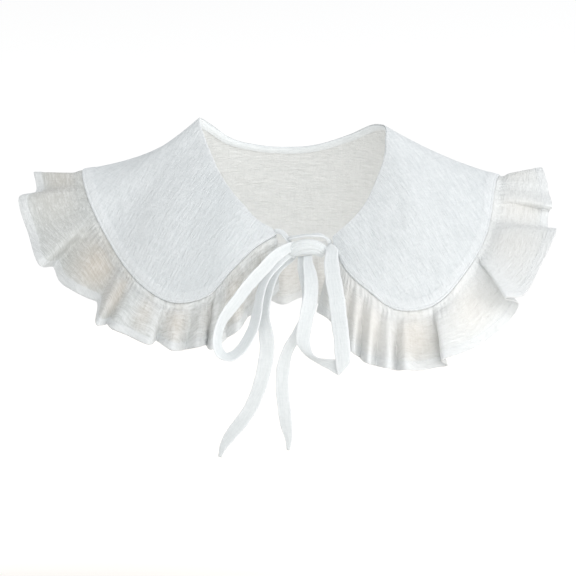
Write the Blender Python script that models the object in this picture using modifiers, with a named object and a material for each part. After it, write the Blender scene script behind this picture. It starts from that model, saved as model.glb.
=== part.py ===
"""A false collar of crinkled cotton: a round C-shaped collar with a gathered ruffle, tied in a bow.

It keeps the hollow form it has on the shoulders. All tables are in millimetres: X is the viewer's right,
Y points to the back, Z up. The origin is the middle of the neck opening, level with the back neckline.
"""

import math

import bmesh
import bpy
from mathutils import Vector

# Driving sizes, in millimetres
MM = 0.001
COLLAR_WALL = 1.6
RUFFLE_WALL = 1.0
BINDING_WALL = 0.8
BINDING_WIDTH = 5.5
RIBBON_WALL = 1.3
SEAM_GAP = 0.3
SEAM_ROLL = 3.0
COLLAR_COLUMNS = 96
COLLAR_ROWS = 7
BACK_WAVES = 15
GATHER_HEIGHT = 0.7
WAVE_HALF_HEIGHT = 7.5
KNOT_HALF = (11.0, 6.2, 5.7)
KNOT_CENTRE = (11.2, -78.0, -73.9)

# One row for each line from the neckline to the ruffle seam, from the left tip round the back to the right
# name, neckline x, y, z, seam x, y, z, bulge of the cloth between them
SPOKES = (
    ("left tip", -13, -62, -61, -10, -65, -66, 0.0),
    ("left front 1", -23, -60, -55, -24, -74, -75, 0.5),
    ("left front 2", -33, -55, -44, -41, -86, -92, 2.0),
    ("left front 3", -42, -47, -33, -57, -96, -109, 4.0),
    ("left front 4", -50, -38, -21, -81, -95, -113, 5.0),
    ("left front 5", -57, -25, -6, -106, -80, -98, 5.0),
    ("left front 6", -63, -11, 9, -130, -48, -68, 1.5),
    ("left shoulder", -67, 3, 23, -147, -22, -37, -3.0),
    ("left top", -59, 20, 20, -154, 18, -14, -5.5),
    ("left back 2", -45, 42, 12, -129, 66, -34, -1.0),
    ("left back 1", -23, 56, 8, -73, 102, -62, 4.0),
    ("centre back", 0, 60, 7, 0, 109, -74, 6.0),
    ("right back 1", 23, 56, 9, 73, 102, -62, 4.0),
    ("right back 2", 46, 42, 15, 130, 66, -35, 0.0),
    ("right top", 62, 20, 20, 156, 18, -19, -3.6),
    ("right shoulder", 70, 3, 17, 151, -8, -26, -2.6),
    ("right front 6", 70, -11, 5, 140, -46, -64, 2.0),
    ("right front 5", 68, -25, -9, 121, -76, -93, 5.0),
    ("right front 4", 62, -37, -25, 98, -93, -115, 5.0),
    ("right front 3", 55, -47, -40, 73, -97, -118, 4.0),
    ("right front 2", 46, -55, -52, 52, -90, -104, 2.0),
    ("right front 1", 39, -60, -59, 39, -80, -91, 0.5),
    ("right tip", 30, -62, -67, 31, -66, -73, 0.0),
)

# Where each fold of the ruffle meets its hem: the spoke it grows from, then hem x, y, z
LEFT_FOLDS = (
    (0.00, -8, -74, -104),
    (0.35, -13, -79, -109),
    (0.75, -20, -74, -113),
    (1.10, -22, -85, -119),
    (1.50, -30, -82, -123),
    (1.90, -36, -97, -132),
    (2.25, -44, -91, -137),
    (2.55, -53, -108, -144),
    (2.80, -57, -98, -141),
    (3.10, -62, -118, -142),
    (3.40, -71, -106, -144),
    (3.75, -79, -122, -144),
    (4.05, -91, -104, -138),
    (4.22, -95, -124, -140),
    (4.65, -109, -119, -134),
    (5.00, -119, -118, -130),
    (5.16, -124, -104, -127),
    (5.34, -130, -114, -127),
    (5.50, -133, -80, -113),
    (5.75, -142, -74, -109),
    (6.00, -152, -71, -104),
    (6.22, -162, -60, -98),
    (6.42, -169, -48, -87),
    (6.60, -176, -66, -86),
    (6.85, -187, -42, -65),
    (7.15, -197, -26, -38),
    (7.36, -188, -1, -31),
    (7.62, -192, 12, -16),
)
RIGHT_FOLDS = (
    (14.40, 188, 12, -13),
    (14.85, 190, -4, -24),
    (15.10, 190, -12, -33),
    (15.28, 190, -28, -43),
    (15.44, 189, -18, -46),
    (15.70, 186, -34, -60),
    (15.92, 186, -70, -63),
    (16.15, 174, -80, -86),
    (16.36, 160, -94, -107),
    (16.50, 146, -103, -109),
    (16.64, 158, -84, -113),
    (16.85, 152, -78, -125),
    (17.10, 142, -86, -133),
    (17.40, 130, -92, -141),
    (17.68, 115, -114, -146),
    (17.95, 102, -121, -150),
    (18.10, 107, -101, -155),
    (18.30, 100, -104, -156),
    (18.55, 88, -107, -158),
    (18.80, 77, -121, -157),
    (19.02, 72, -107, -158),
    (19.25, 65, -120, -156),
    (19.50, 58, -105, -155),
    (19.75, 52, -115, -153),
    (20.05, 48, -98, -150),
    (20.32, 42, -106, -146),
    (20.60, 38, -92, -140),
    (20.90, 34, -94, -133),
    (21.25, 30, -82, -128),
    (21.60, 25, -84, -123),
    (22.00, 19, -74, -119),
)
# The smooth line that the back hem waves about: spoke, x, y, z
BACK_HEM = (
    (7.62, -192, 12, -16),
    (8.0, -190, 32, -27),
    (9.0, -159, 88, -62),
    (10.0, -89, 121, -100),
    (11.0, 0, 132, -114),
    (12.0, 89, 121, -100),
    (13.0, 160, 88, -63),
    (14.0, 189, 32, -29),
    (14.40, 188, 12, -13),
)
# Uneven waves, used in turn round the back: height share, sideways lean, extra drop
BACK_UNEVENNESS = (
    (1.00, 3.0, 1.0),
    (0.75, -2.0, -1.0),
    (1.15, -4.0, 0.5),
    (0.85, 2.0, 2.0),
    (1.05, 0.0, -1.5),
    (0.70, 4.0, 1.0),
    (1.20, -3.0, 0.0),
)

# Ribbons: x, y, z along the middle, tilt of the width out of the front view in degrees, width
TIE_LEFT = (
    (-11.3, -62.6, -63.6, -29, 4.0),
    (-9.4, -62.2, -63.0, -32, 4.5),
    (-7.0, -63.4, -63.6, -45, 5.5),
    (-4.4, -66.6, -65.8, -62, 7.0),
    (-2.4, -70.2, -69.0, -70, 7.5),
    (0.4, -73.6, -72.4, -68, 6.5),
)
TIE_RIGHT = (
    (29.3, -63.0, -70.4, 34, 4.0),
    (28.0, -62.8, -70.7, 36, 4.5),
    (26.2, -64.8, -69.5, 52, 5.5),
    (21.6, -69.8, -66.3, 76, 8.0),
    (15.4, -72.2, -66.3, 80, 9.0),
    (9.0, -73.0, -66.6, 80, 9.0),
    (3.4, -72.8, -67.6, 78, 8.5),
    (-0.6, -71.8, -68.2, 70, 7.0),
)
LOOP_LEFT = (
    (-0.2, -81.0, -74.3, -5, 7.0),
    (-4.6, -85.0, -76.6, -15, 7.5),
    (-10.6, -91.0, -80.8, -25, 9.0),
    (-18.0, -97.5, -88.8, -35, 10.0),
    (-28.5, -106.0, -100.4, -40, 10.5),
    (-37.0, -114.0, -111.8, -43, 10.5),
    (-44.9, -119.5, -122.4, -52, 10.5),
    (-48.4, -122.5, -131.7, -58, 10.5),
    (-49.0, -124.0, -140.3, -58, 10.5),
    (-46.3, -124.5, -146.6, -56, 10.5),
    (-40.7, -124.0, -148.9, -55, 10.5),
    (-34.1, -122.0, -145.3, -52, 10.5),
    (-28.9, -119.0, -138.4, -48, 10.5),
    (-24.9, -115.0, -130.5, -48, 10.5),
    (-22.4, -110.0, -121.2, -52, 10.5),
    (-20.8, -104.0, -111.9, -55, 10.0),
    (-19.2, -98.0, -103.8, -50, 9.0),
    (-16.2, -91.5, -95.5, -40, 8.0),
    (-11.1, -86.0, -88.3, -25, 7.5),
    (-5.2, -81.2, -82.0, -10, 7.0),
    (-0.6, -78.6, -78.6, 0, 6.0),
)
LOOP_RIGHT = (
    (12.4, -80.2, -80.65, 5, 6.0),
    (12.3, -86.0, -85.6, 0, 7.0),
    (13.9, -94.0, -94.9, -5, 9.5),
    (13.8, -101.0, -107.8, -10, 10.2),
    (10.7, -106.0, -122.7, -12, 10.2),
    (8.6, -108.5, -136.1, -22, 10.2),
    (10.6, -110.5, -146.5, -35, 10.2),
    (17.3, -113.0, -152.1, -38, 10.2),
    (24.6, -116.5, -155.3, -32, 10.2),
    (31.9, -119.5, -155.1, -25, 10.2),
    (35.6, -120.0, -149.1, -20, 10.2),
    (34.6, -118.0, -138.5, -12, 10.5),
    (32.8, -112.5, -123.9, -5, 11.0),
    (31.3, -106.0, -109.2, 0, 11.0),
    (29.1, -98.0, -94.9, 0, 11.0),
    (28.2, -89.0, -83.4, 0, 10.0),
    (28.3, -82.4, -75.6, 0, 8.0),
    (25.6, -78.6, -72.8, 0, 6.0),
)
TAIL_LEFT = (
    (3.0, -74.3, -79.2, 0, 5.0),
    (-0.6, -74.4, -82.4, 0, 6.0),
    (-4.6, -76.2, -84.9, 10, 7.0),
    (-9.8, -80.0, -90.4, 20, 8.0),
    (-13.2, -84.6, -98.3, 35, 9.0),
    (-15.6, -89.4, -107.2, 40, 9.5),
    (-17.3, -93.6, -116.7, 42, 10.0),
    (-17.6, -97.0, -124.2, 35, 10.5),
    (-16.4, -99.0, -132.3, 15, 10.5),
    (-15.6, -100.0, -143.2, 0, 10.4),
    (-17.8, -100.5, -158.1, 0, 10.2),
    (-21.1, -100.5, -170.3, 5, 9.8),
    (-26.4, -100.0, -183.3, 10, 9.4),
    (-32.1, -99.5, -192.1, 15, 9.5),
    (-39.6, -99.0, -201.7, 20, 9.0),
    (-45.0, -98.5, -209.9, 25, 6.0),
    (-47.6, -98.0, -217.4, 25, 2.5),
)
TAIL_RIGHT = (
    (8.2, -76.0, -80.75, 0, 6.0),
    (9.2, -79.5, -89.9, 0, 8.0),
    (12.4, -87.5, -107.2, 0, 8.5),
    (10.0, -94.0, -124.0, -10, 8.5),
    (4.0, -97.0, -134.6, -30, 8.5),
    (-1.4, -97.6, -143.5, -35, 9.0),
    (-4.4, -98.2, -153.5, -20, 9.4),
    (-5.4, -98.5, -163.6, -8, 9.2),
    (-5.2, -98.5, -174.0, 0, 9.0),
    (-3.9, -98.5, -184.7, 5, 9.0),
    (-2.5, -98.0, -195.7, 10, 8.5),
    (-0.9, -97.5, -204.6, 15, 5.5),
    (-1.1, -97.0, -212.8, 20, 2.2),
)


def curve_through(knots, points, t):
    """A smooth curve through points at rising knots, read at t."""
    t = min(max(t, knots[0]), knots[-1])
    i = max(k for k in range(len(knots) - 1) if knots[k] <= t)
    span = knots[i + 1] - knots[i]
    f = (t - knots[i]) / span

    def slope(k):
        lo, hi = max(k - 1, 0), min(k + 1, len(knots) - 1)
        return (points[hi] - points[lo]) / (knots[hi] - knots[lo])

    h00, h10 = 2 * f**3 - 3 * f**2 + 1, f**3 - 2 * f**2 + f
    h01, h11 = -2 * f**3 + 3 * f**2, f**3 - f**2
    return points[i] * h00 + slope(i) * (h10 * span) + points[i + 1] * h01 + slope(i + 1) * (h11 * span)


def knots_along(points, power=1.0):
    """Rising knots spaced by the distance between neighbours, to a power."""
    knots = [0.0]
    for a, b in zip(points, points[1:]):
        knots.append(knots[-1] + (b - a).length ** power)
    return knots


def between(table, x):
    """Reads a rising list of pairs in straight steps."""
    for (x0, y0), (x1, y1) in zip(table, table[1:]):
        if x <= x1:
            return y0 + (y1 - y0) * (x - x0) / (x1 - x0)
    return table[-1][1]


NECK = [Vector(row[1:4]) for row in SPOKES]
SEAM = [Vector(row[4:7]) for row in SPOKES]
BULGE = [Vector((row[7], 0, 0)) for row in SPOKES]
ALONG = knots_along(SEAM)


def spoke_to_mm(spoke):
    """Length along the ruffle seam at a spoke number, which may lie between two."""
    return between(list(enumerate(ALONG)), spoke)


def collar_frame(u):
    """Neckline point, seam point, outward direction at the seam and face direction at length u."""
    neck = curve_through(ALONG, NECK, u)
    seam = curve_through(ALONG, SEAM, u)
    step = 0.5
    ahead = curve_through(ALONG, SEAM, u + step) + curve_through(ALONG, NECK, u + step)
    behind = curve_through(ALONG, SEAM, u - step) + curve_through(ALONG, NECK, u - step)
    face = (ahead - behind).cross(seam - neck).normalized()
    if face.dot(Vector((0, seam.y, 120))) < 0:
        face = -face
    bulge = curve_through(ALONG, BULGE, u).x
    outward = ((seam - neck) - face * (4 * bulge)).normalized()
    return neck, seam, outward, face, bulge


def collar_point(u, v):
    """A point on the collar's outer face, v running from the neckline to the seam."""
    neck, seam, _, face, bulge = collar_frame(u)
    return neck.lerp(seam, v) + face * (bulge * 4 * v * (1 - v))


def sheet_object(name, grid, wall, material, collection):
    """An open sheet from rows of points, thickened behind its face."""
    bm = bmesh.new()
    rows = [[bm.verts.new(p * MM) for p in row] for row in grid]
    for low, high in zip(rows, rows[1:]):
        for k in range(len(low) - 1):
            bm.faces.new((low[k], low[k + 1], high[k + 1], high[k]))
    mesh = bpy.data.meshes.new(name)
    bm.to_mesh(mesh)
    bm.free()
    mesh.shade_smooth()
    thing = bpy.data.objects.new(name, mesh)
    thing.data.materials.append(material)
    collection.objects.link(thing)
    shell = thing.modifiers.new("Wall", "SOLIDIFY")
    shell.thickness = wall * MM
    shell.offset = -1
    shell.use_even_offset = True
    shell.use_quality_normals = True
    return thing


def hem_rows():
    """Every fold of the ruffle as seam length and hem point, from the left tip to the right tip."""
    rows = [(spoke_to_mm(r[0]), Vector(r[1:])) for r in LEFT_FOLDS]
    knots = [spoke_to_mm(r[0]) for r in BACK_HEM]
    base = [Vector(r[1:]) for r in BACK_HEM]
    start, end = knots[0], knots[-1]
    count = 2 * BACK_WAVES
    for i in range(1, count):
        share, lean, drop = BACK_UNEVENNESS[i % len(BACK_UNEVENNESS)]
        u = start + (end - start) * (i + 0.18 * math.sin(2.1 * i)) / count
        middle = curve_through(knots, base, u)
        _, seam, _, face, _ = collar_frame(u)
        along = (curve_through(knots, base, u + 1) - curve_through(knots, base, u - 1)).normalized()
        down = (middle - seam).normalized()
        out = along.cross(down).normalized()
        if out.dot(face) < 0:
            out = -out
        height = WAVE_HALF_HEIGHT * share * (1 if i % 2 == 0 else -1)
        rows.append((u, middle + out * height + along * lean + down * drop))
    rows += [(spoke_to_mm(r[0]), Vector(r[1:])) for r in RIGHT_FOLDS]
    return rows


def ruffle_grid():
    """Points of the ruffle: columns from fold to fold, rows from the seam to the hem."""
    rows = hem_rows()
    points = [p for _, p in rows]
    knots = knots_along(points, 0.5)
    grid = []
    for i in range(len(rows) - 1):
        steps = 4 if (points[i + 1] - points[i]).length > 16 else 3
        spacing = (rows[i + 1][0] - rows[i][0]) / steps
        height = GATHER_HEIGHT * min(1, spacing / 3) ** 2
        for k in range(steps + (i == len(rows) - 2)):
            f = k / steps
            u = rows[i][0] + (rows[i + 1][0] - rows[i][0]) * f
            hem = curve_through(knots, points, knots[i] + (knots[i + 1] - knots[i]) * f)
            _, seam, outward, face, _ = collar_frame(u)
            start = seam + outward * (SEAM_GAP + 0.1) - face * (0.5 * (COLLAR_WALL - RUFFLE_WALL))
            # A small gather on every second column, strongest beside the seam and gone at the hem
            gather = height * (1 if len(grid) % 2 else -1) * (1 + 0.3 * math.sin(1.7 * len(grid)))
            column = [start, start + outward * SEAM_ROLL + (hem - start) * 0.012]
            for w, share in ((0.30, 1.0), (0.66, 0.5), (1.0, 0.0)):
                column.append(start.lerp(hem, w) + face * (3.0 * w * (1 - w) + gather * share))
            grid.append(column)
    return grid


def ribbon_grid(table, steps):
    """Three lines of points along a ribbon, its width tilted out of the front view."""
    middles = [Vector(row[:3]) for row in table]
    extras = [Vector((row[3], row[4], 0)) for row in table]
    knots = knots_along(middles)
    grid = []
    for k in range(steps + 1):
        t = knots[-1] * k / steps
        middle = curve_through(knots, middles, t)
        tangent = (curve_through(knots, middles, t + 0.5) - curve_through(knots, middles, t - 0.5)).normalized()
        tilt, width, _ = curve_through(knots, extras, t)
        flat = tangent.cross(Vector((0, 1, 0))).normalized()
        deep = tangent.cross(flat)
        across = flat * math.cos(math.radians(tilt)) + deep * math.sin(math.radians(tilt))
        grid.append([middle + across * (width * s) for s in (-0.5, 0.0, 0.5)])
    return grid


def cloth_material(name, colour, roughness):
    material = bpy.data.materials.new(name)
    material.use_nodes = True
    shader = material.node_tree.nodes["Principled BSDF"]
    shader.inputs["Base Color"].default_value = (*colour, 1.0)
    shader.inputs["Roughness"].default_value = roughness
    shader.inputs["Metallic"].default_value = 0.0
    return material


# Start from an empty scene
for old in list(bpy.data.objects):
    bpy.data.objects.remove(old, do_unlink=True)
collar = bpy.data.collections.new("false_collar")
bpy.context.scene.collection.children.link(collar)

collar_cloth = cloth_material("crinkle_cotton", (0.84, 0.86, 0.87), 0.9)
ruffle_cloth = cloth_material("ruffle_cotton", (0.84, 0.83, 0.79), 0.9)
ribbon_cloth = cloth_material("tie_cotton", (0.82, 0.85, 0.87), 0.85)

# Collar body: one C-shaped piece from the left tip over the shoulders to the right tip
length = ALONG[-1]
columns = [length * k / COLLAR_COLUMNS for k in range(COLLAR_COLUMNS + 1)]
body_grid = [[collar_point(u, k / COLLAR_ROWS) for k in range(COLLAR_ROWS + 1)] for u in columns]
sheet_object("collar_body", body_grid, COLLAR_WALL, collar_cloth, collar)

# Neck binding: a narrow strip on the inside of the neckline, made from the collar's own points
binding_grid = []
for u in columns:
    neck, seam, _, face, _ = collar_frame(u)
    depth = (seam - neck).length
    inner = face * (COLLAR_WALL + SEAM_GAP)
    lower = min(BINDING_WIDTH / depth, 0.5)
    binding_grid.append([collar_point(u, 0.0) - inner, collar_point(u, lower) - inner])
sheet_object("neck_binding", binding_grid, BINDING_WALL, collar_cloth, collar)

# Ruffle: one gathered strip along the whole outer edge, its folds as wide and uneven as on the garment
sheet_object("ruffle", ruffle_grid(), RUFFLE_WALL, ruffle_cloth, collar)

# Ties and bow: narrow stitched ribbons, each a flat strip that twists as it hangs
for name, table, steps in (
    ("tie_left", TIE_LEFT, 8),
    ("tie_right", TIE_RIGHT, 12),
    ("bow_loop_left", LOOP_LEFT, 44),
    ("bow_loop_right", LOOP_RIGHT, 44),
    ("bow_tail_left", TAIL_LEFT, 32),
    ("bow_tail_right", TAIL_RIGHT, 28),
):
    sheet_object(name, ribbon_grid(table, steps), RIBBON_WALL, ribbon_cloth, collar)

# Knot: a soft flattened wrap between the loops
bpy.ops.mesh.primitive_uv_sphere_add(segments=20, ring_count=12, radius=1.0)
knot = bpy.context.object
knot.name = knot.data.name = "bow_knot"
for vertex in knot.data.vertices:
    x, y, z = vertex.co
    squared = [math.copysign(abs(c) ** 0.75, c) for c in (x, y, z)]
    vertex.co = [(c + h * s) * MM for c, h, s in zip(KNOT_CENTRE, KNOT_HALF, squared)]
knot.data.shade_smooth()
knot.data.materials.append(ribbon_cloth)
for owner in list(knot.users_collection):
    owner.objects.unlink(knot)
collar.objects.link(knot)
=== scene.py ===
import math

import bpy
import numpy as np
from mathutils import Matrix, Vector


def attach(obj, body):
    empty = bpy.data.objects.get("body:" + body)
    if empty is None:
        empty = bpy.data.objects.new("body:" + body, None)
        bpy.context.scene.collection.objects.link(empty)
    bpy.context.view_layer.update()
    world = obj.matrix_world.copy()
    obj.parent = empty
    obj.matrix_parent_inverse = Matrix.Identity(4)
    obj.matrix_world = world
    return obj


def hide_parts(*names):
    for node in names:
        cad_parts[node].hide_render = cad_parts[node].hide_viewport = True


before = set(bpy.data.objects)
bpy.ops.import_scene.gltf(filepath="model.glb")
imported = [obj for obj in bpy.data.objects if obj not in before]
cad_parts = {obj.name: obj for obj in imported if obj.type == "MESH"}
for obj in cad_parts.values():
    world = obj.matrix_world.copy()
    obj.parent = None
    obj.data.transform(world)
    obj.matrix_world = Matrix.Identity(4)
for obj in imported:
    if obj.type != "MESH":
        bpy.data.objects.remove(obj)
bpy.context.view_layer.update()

# Collar body
# A round collar cut as one C-shaped piece of crinkle cotton, with no shoulder seam, made of two layers
# stitched round the outer edge, turned and topstitched. It keeps the shape that it has when worn.

# One row for each line from the neckline to the ruffle seam, from the left tip round the back to the
# right tip: neckline x, y, z, seam x, y, z, bulge of the cloth between them, all in millimetres
SPOKES = np.array((
    (-13, -62, -61, -10, -65, -66, 0.0),
    (-23, -60, -55, -24, -74, -75, 0.5),
    (-33, -55, -44, -41, -86, -92, 2.0),
    (-42, -47, -33, -57, -96, -109, 4.0),
    (-50, -38, -21, -81, -95, -113, 5.0),
    (-57, -25, -6, -106, -80, -98, 5.0),
    (-63, -11, 9, -130, -48, -68, 1.5),
    (-67, 3, 23, -147, -22, -37, -3.0),
    (-59, 20, 20, -154, 18, -14, -5.5),
    (-45, 42, 12, -129, 66, -34, -1.0),
    (-23, 56, 8, -73, 102, -62, 4.0),
    (0, 60, 7, 0, 109, -74, 6.0),
    (23, 56, 9, 73, 102, -62, 4.0),
    (46, 42, 15, 130, 66, -35, 0.0),
    (62, 20, 20, 156, 18, -19, -3.6),
    (70, 3, 17, 151, -8, -26, -2.6),
    (70, -11, 5, 140, -46, -64, 2.0),
    (68, -25, -9, 121, -76, -93, 5.0),
    (62, -37, -25, 98, -93, -115, 5.0),
    (55, -47, -40, 73, -97, -118, 4.0),
    (46, -55, -52, 52, -90, -104, 2.0),
    (39, -60, -59, 39, -80, -91, 0.5),
    (30, -62, -67, 31, -66, -73, 0.0),
), float)
NECK, SEAM, BULGE = SPOKES[:, 0:3], SPOKES[:, 3:6], SPOKES[:, 6:7]
# In millimetres: two layers of cloth, the neckline, how far the turned edge shows through inside the seam,
# how far from the seam the topstitching runs, and the depth below which the rows beside the edges close up
COLLAR_WALL, NECK_LENGTH, SEAM_BAND, TOPSTITCH, FULL_DEPTH = 1.6, 436.0, 8.0, 2.0, 36.0
COLLAR_COLUMNS = 341
# Turns of the weave's wave in a millimetre, as an angle: about three threads in two millimetres
THREADS = 9.2
# Soft creases of the collar: spoke and share of the depth at each end, half width in mm, height in mm
COLLAR_CREASES = (
    (6.6, 0.10, 5.2, 0.80, 9.0, 0.5),
    (7.3, 0.12, 7.6, 0.85, 7.0, -0.5),
    (5.9, 0.05, 3.6, 0.62, 12.0, -0.4),
    (3.2, 0.15, 2.7, 0.70, 8.0, 0.4),
    (8.6, 0.05, 8.9, 0.90, 11.0, 0.9),
    (9.5, 0.15, 9.9, 0.80, 9.0, -0.8),
    (10.6, 0.05, 10.4, 0.70, 12.0, 0.7),
    (11.5, 0.10, 11.7, 0.90, 10.0, -0.7),
    (12.6, 0.05, 12.5, 0.75, 12.0, 0.8),
    (13.6, 0.10, 13.3, 0.90, 9.0, -0.8),
    (14.7, 0.08, 14.5, 0.80, 8.0, 0.9),
    (15.6, 0.10, 16.8, 0.75, 10.0, -0.8),
    (16.4, 0.05, 18.2, 0.60, 12.0, 0.7),
    (19.2, 0.15, 19.8, 0.72, 8.0, -0.5),
)


def run_lengths(points, power=1.0):
    """How far each point lies along the line from the first, in distances taken to a power."""
    return np.concatenate([[0], np.cumsum(np.linalg.norm(np.diff(points, axis=0), axis=1) ** power)])


ALONG = run_lengths(SEAM)


def read_curve(knots, points, t):
    """A smooth curve through rows of numbers at rising knots, read at many places at once."""
    knots, points = np.asarray(knots, float), np.asarray(points, float)
    t = np.clip(np.asarray(t, float), knots[0], knots[-1])
    i = np.clip(np.searchsorted(knots, t, side="right") - 1, 0, len(knots) - 2)
    n = np.arange(len(knots))
    lo, hi = np.maximum(n - 1, 0), np.minimum(n + 1, len(knots) - 1)
    slope = (points[hi] - points[lo]) / (knots[hi] - knots[lo])[:, None]
    span = (knots[i + 1] - knots[i])[:, None]
    f = (t - knots[i])[:, None] / span
    return (points[i] * (2 * f**3 - 3 * f**2 + 1) + slope[i] * (f**3 - 2 * f**2 + f) * span
            + points[i + 1] * (3 * f**2 - 2 * f**3) + slope[i + 1] * (f**3 - f**2) * span)


def unit(v):
    return v / np.linalg.norm(v, axis=-1, keepdims=True)


def collar_frame(u):
    """Neckline and seam points, outward and face directions and bulge at many lengths along the seam."""
    neck, seam, both = read_curve(ALONG, NECK, u), read_curve(ALONG, SEAM, u), NECK + SEAM
    run = read_curve(ALONG, both, u + 0.5) - read_curve(ALONG, both, u - 0.5)
    face = unit(np.cross(run, seam - neck))
    # The face is the side that looks up and away from the neck
    face[face[:, 1] * seam[:, 1] + face[:, 2] * 120 < 0] *= -1
    bulge = read_curve(ALONG, BULGE, u)
    return neck, seam, unit((seam - neck) - face * 4 * bulge), face, bulge


def soft_step(x):
    x = np.clip(x, 0, 1)
    return x * x * (3 - 2 * x)


def collar_grid(u, away):
    """Points of the collar's outer face. away holds, for each u, distances from the seam in mm."""
    neck, seam, _, face, bulge = collar_frame(u)
    depth = np.linalg.norm(seam - neck, axis=1)[:, None]
    v = (1 - away / depth)[..., None]
    inner = neck[:, None] * (1 - v) + seam[:, None] * v + face[:, None] * (bulge[:, None] * 4 * v * (1 - v))
    return inner + face[:, None] * COLLAR_WALL


def unrolled(neck, seam):
    """The strip between two lines laid flat from its middle column outwards, so that the grain can be cut."""
    flat = np.zeros((len(neck), 2, 2))
    middle = len(neck) // 2
    flat[middle, 1] = 0, -np.linalg.norm(seam[middle] - neck[middle])

    def meet(a, b, from_a, from_b, side):
        gap = np.linalg.norm(b - a)
        along = (b - a) / gap
        x = (from_a**2 - from_b**2 + gap**2) / (2 * gap)
        return a + along * x + side * np.array((-along[1], along[0])) * math.sqrt(max(from_a**2 - x**2, 0))

    for side in (1, -1):
        i = middle
        while 0 <= i + side < len(neck):
            j = i + side
            flat[j, 0] = meet(*flat[i], np.linalg.norm(neck[j] - neck[i]), np.linalg.norm(neck[j] - seam[i]), side)
            flat[j, 1] = meet(flat[j, 0], flat[i, 1], np.linalg.norm(seam[j] - neck[j]),
                              np.linalg.norm(seam[j] - seam[i]), side)
            i = j
    return flat


def in_scene(name, data):
    thing = bpy.data.objects.new(name, data)
    bpy.context.scene.collection.objects.link(thing)
    return thing


def laid_flat(along, across):
    """Places in the cut of the cloth, in mm along and across it."""
    return np.stack(np.broadcast_arrays(along, across, 0.0), -1)


def grid_mesh(name, points, tube=False, **numbers):
    """A sheet or closed tube in metres from a grid of millimetre points, carrying its own named numbers."""
    rows, columns = points.shape[:2]
    index = np.arange(rows * columns).reshape(rows, columns)
    if tube:
        index = np.concatenate([index, index[:, :1]], 1)
    faces = np.stack([index[:-1, :-1], index[1:, :-1], index[1:, 1:], index[:-1, 1:]], -1).reshape(-1, 4).tolist()
    if tube:
        faces += [index[0, :-1].tolist(), index[-1, -2::-1].tolist()]
    mesh = bpy.data.meshes.new(name)
    mesh.from_pydata((points.reshape(-1, 3) * 0.001).tolist(), [], faces)
    for key, values in numbers.items():
        kind, field, size = ("FLOAT_VECTOR", "vector", 3) if np.ndim(values) == 3 else ("FLOAT", "value", 1)
        spread = np.broadcast_to(values, (rows, columns, 3) if size == 3 else (rows, columns))
        mesh.attributes.new(key, kind, "POINT").data.foreach_set(field, np.ravel(spread).astype(np.float32))
    mesh.shade_smooth()
    return in_scene(name, mesh)


def settle(thing):
    """Turns what the modifiers made into the object's own plain mesh."""
    made = bpy.data.meshes.new_from_object(thing.evaluated_get(bpy.context.evaluated_depsgraph_get()))
    thing.modifiers.clear()
    thing.data = made
    made.name = thing.name
    return thing


class Value:
    """A number from a node, which adds Math nodes when it is used in an expression."""

    def __init__(self, nodes, socket):
        self.nodes, self.socket = nodes, socket

    def maths(self, operation, first, second=0.0):
        return self.nodes.add("ShaderNodeMath", {"operation": operation}, {0: first, 1: second})

    def __add__(self, other):
        return self.maths("ADD", self, other)

    __radd__ = __add__

    def __sub__(self, other):
        return self.maths("SUBTRACT", self, other)

    def __rsub__(self, other):
        return self.maths("SUBTRACT", other, self)

    def __mul__(self, other):
        return self.maths("MULTIPLY", self, other)

    __rmul__ = __mul__

    def __truediv__(self, other):
        return self.maths("DIVIDE", self, other)


class Nodes:
    """Adds the nodes of one tree, a cloth's or a modifier's, by one method."""

    def __init__(self, tree):
        self.tree = tree

    def add(self, kind, settings=None, inputs=None, output=None):
        made = self.tree.nodes.new(kind)
        for key, value in (settings or {}).items():
            setattr(made, key, value)
        for key, value in (inputs or {}).items():
            usable = [s for s in made.inputs if key in (s.identifier, s.name) and s.enabled]
            socket = made.inputs[key] if isinstance(key, int) else usable[0]
            if isinstance(value, Value):
                self.tree.links.new(value.socket, socket)
            else:
                socket.default_value = value
        if output is None:
            output = next((o.identifier for o in made.outputs if o.enabled), None)
        found = [o for o in made.outputs if output in (o.identifier, o.name)]
        return Value(self, found[0]) if found else made

    def stretched(self, vector, by, shift=(0.0, 0.0, 0.0)):
        return self.add("ShaderNodeVectorMath", {"operation": "MULTIPLY_ADD"}, {0: vector, 1: by, 2: shift})

    def noise(self, vector, detail=2.0, rough=0.5, bend=0.0):
        return self.add("ShaderNodeTexNoise", {"noise_dimensions": "3D"}, {
            "Vector": vector, "Scale": 1.0, "Detail": detail, "Roughness": rough, "Distortion": bend}, "Fac")

    def step(self, low, high, value):
        return self.add("ShaderNodeMapRange", {"interpolation_type": "SMOOTHSTEP"},
                        {"Value": value, "From Min": low, "From Max": high})

    def wave(self, angle):
        return angle.maths("SINE", angle)

    def painted(self, key, output="Fac"):
        return self.add("ShaderNodeAttribute", {"attribute_name": key}, output=output)

    def mixed(self, amount, first, second):
        first, second = ((*c, 1.0) if isinstance(c, tuple) else c for c in (first, second))
        return self.add("ShaderNodeMix", {"data_type": "RGBA"}, {
            "Factor_Float": amount, "A_Color": first, "B_Color": second}, "Result_Color")


def new_rule(name, sizes, finish):
    """A geometry tree with named inputs for its sizes and its material."""
    tree = bpy.data.node_groups.new(name, "GeometryNodeTree")
    inputs = [("Geometry", "Geometry"), *((label, "Float") for label in sizes), (finish, "Material")]
    for label, kind in inputs:
        tree.interface.new_socket(label, in_out="INPUT", socket_type="NodeSocket" + kind)
    tree.interface.new_socket("Geometry", in_out="OUTPUT", socket_type="NodeSocketGeometry")
    nodes = Nodes(tree)
    given = tree.nodes.new("NodeGroupInput")
    return tree, nodes, {o.name: Value(nodes, o) for o in given.outputs if o.name}


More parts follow.
